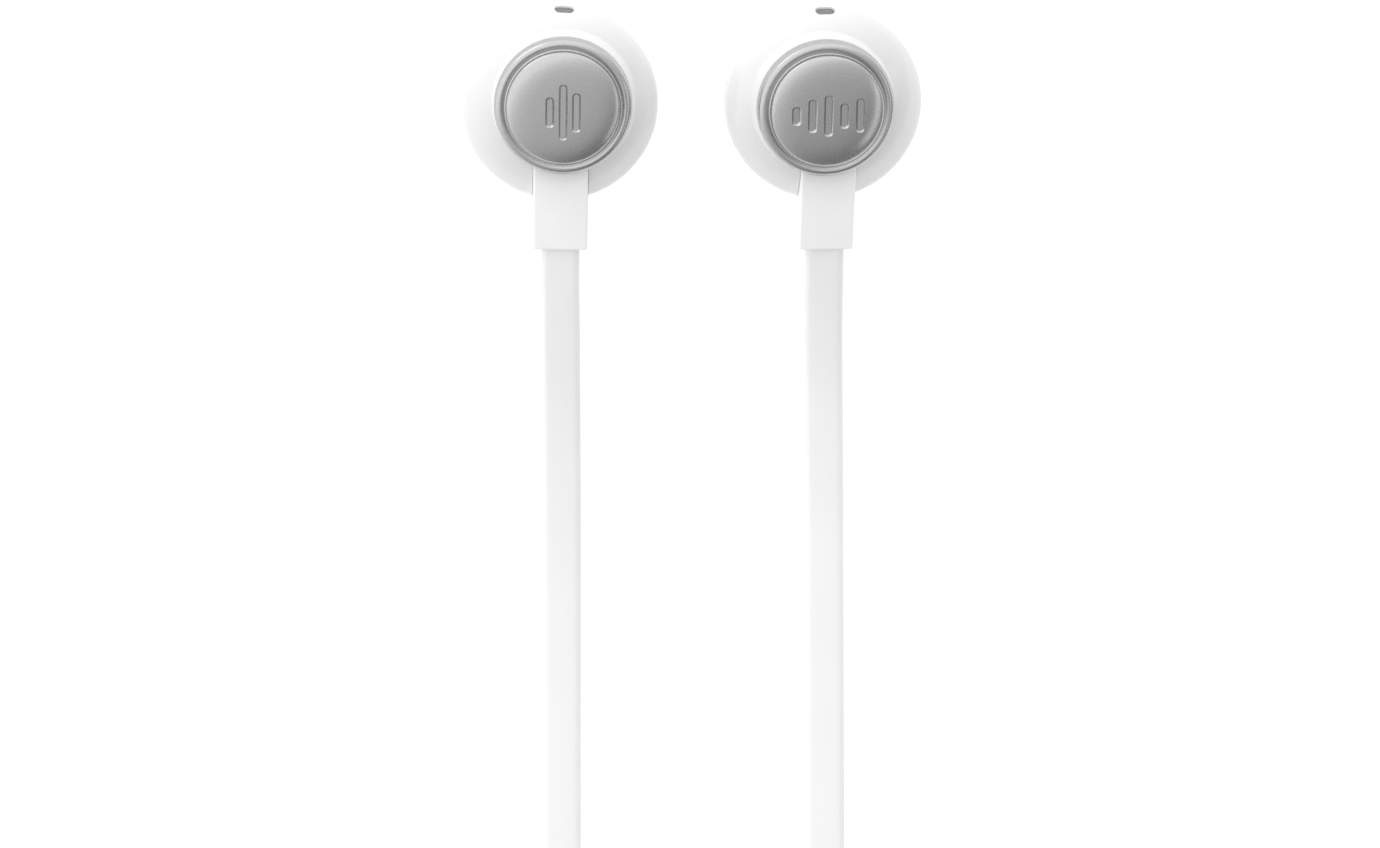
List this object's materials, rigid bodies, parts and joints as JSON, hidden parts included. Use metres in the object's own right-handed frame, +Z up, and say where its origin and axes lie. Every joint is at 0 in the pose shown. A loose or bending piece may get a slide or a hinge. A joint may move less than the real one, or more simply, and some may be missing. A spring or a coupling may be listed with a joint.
{
  "type": "neckband earphones",
  "caption": "Open-fit ear buds on flat leads, with a push-button control capsule, a battery capsule and a coiled flat neck lead.",
  "frame": {"origin": "centre of the earphones' footprint on the resting surface, the free cables left out", "axes": "+Z up with the rear caps up, +Y from the capsules towards the ear buds, +X towards the bud that carries the control capsule"},
  "size_m": [0.0415, 0.2395, 0.0146],
  "materials": {
    "gloss_white": "high gloss",
    "soft_white": "matte",
    "cable_white": "matte",
    "satin_silver": "satin",
    "steel_mesh": "woven mesh, satin",
    "driver_steel": "satin",
    "diaphragm_film": "translucent film",
    "black_plastic": "matte",
    "board_green": "solder mask",
    "cell_foil": "foil pouch",
    "clear_plastic": "clear"
  },
  "bodies": {
    "earphones": {"left_rear_shell": "gloss_white", "right_rear_shell": "gloss_white", "left_front_shell": "gloss_white", "right_front_shell": "gloss_white", "control_case_upper": "gloss_white", "control_case_lower": "gloss_white", "battery_case_upper": "gloss_white", "battery_case_lower": "gloss_white", "left_strain_relief": "soft_white", "right_strain_relief": "soft_white", "control_bud_grommet": "soft_white", "control_neck_grommet": "soft_white", "battery_bud_grommet": "soft_white", "battery_neck_grommet": "soft_white", "coil_clip": "soft_white", "left_lead": "cable_white", "right_lead": "cable_white", "neck_lead_right": "cable_white", "neck_lead_left": "cable_white", "neck_coil": "cable_white", "left_rear_cap": "satin_silver", "right_rear_cap": "satin_silver", "left_front_grille": "steel_mesh", "right_front_grille": "steel_mesh", "left_vent_mesh": "steel_mesh", "right_vent_mesh": "steel_mesh", "microphone": "steel_mesh", "left_driver_magnet": "driver_steel", "right_driver_magnet": "driver_steel", "charging_socket": "driver_steel", "left_driver_frame": "black_plastic", "right_driver_frame": "black_plastic", "volume_up_switch": "black_plastic", "multifunction_switch": "black_plastic", "volume_down_switch": "black_plastic", "control_board": "board_green", "protection_board": "board_green", "battery_cell": "cell_foil", "status_light_pipe": "clear_plastic"},
    "left_driver_diaphragm": {"left_diaphragm": "diaphragm_film"},
    "right_driver_diaphragm": {"right_diaphragm": "diaphragm_film"},
    "volume_up_key": {"volume_up_button": "soft_white"},
    "multifunction_key": {"multifunction_button": "soft_white"},
    "volume_down_key": {"volume_down_button": "soft_white"},
    "port_flap": {"port_cover": "soft_white"}
  },
  "joints": [
    {"name": "volume_up_press", "type": "slide", "parent": "earphones", "child": "volume_up_key", "axis": [0, 0, -1], "range_m": [0, 0.00025], "stiffness_N_per_m": 6400},
    {"name": "multifunction_press", "type": "slide", "parent": "earphones", "child": "multifunction_key", "axis": [0, 0, -1], "range_m": [0, 0.00025], "stiffness_N_per_m": 6400},
    {"name": "volume_down_press", "type": "slide", "parent": "earphones", "child": "volume_down_key", "axis": [0, 0, -1], "range_m": [0, 0.00025], "stiffness_N_per_m": 6400},
    {"name": "port_cover_hinge", "type": "hinge", "parent": "earphones", "child": "port_flap", "pos_m": [0.0166, -0.0845, 0.00485], "axis": [0, -1, 0], "range_deg": [0, 110], "stiffness_Nm_per_rad": 0.001},
    {"name": "left_diaphragm_travel", "type": "slide", "parent": "earphones", "child": "left_driver_diaphragm", "axis": [0.0116, -0.2166, 0.9762], "range_m": [-0.00015, 0.00015], "stiffness_N_per_m": 500},
    {"name": "right_diaphragm_travel", "type": "slide", "parent": "earphones", "child": "right_driver_diaphragm", "axis": [0.1216, -0.2654, 0.9564], "range_m": [-0.00015, 0.00015], "stiffness_N_per_m": 500}
  ]
}
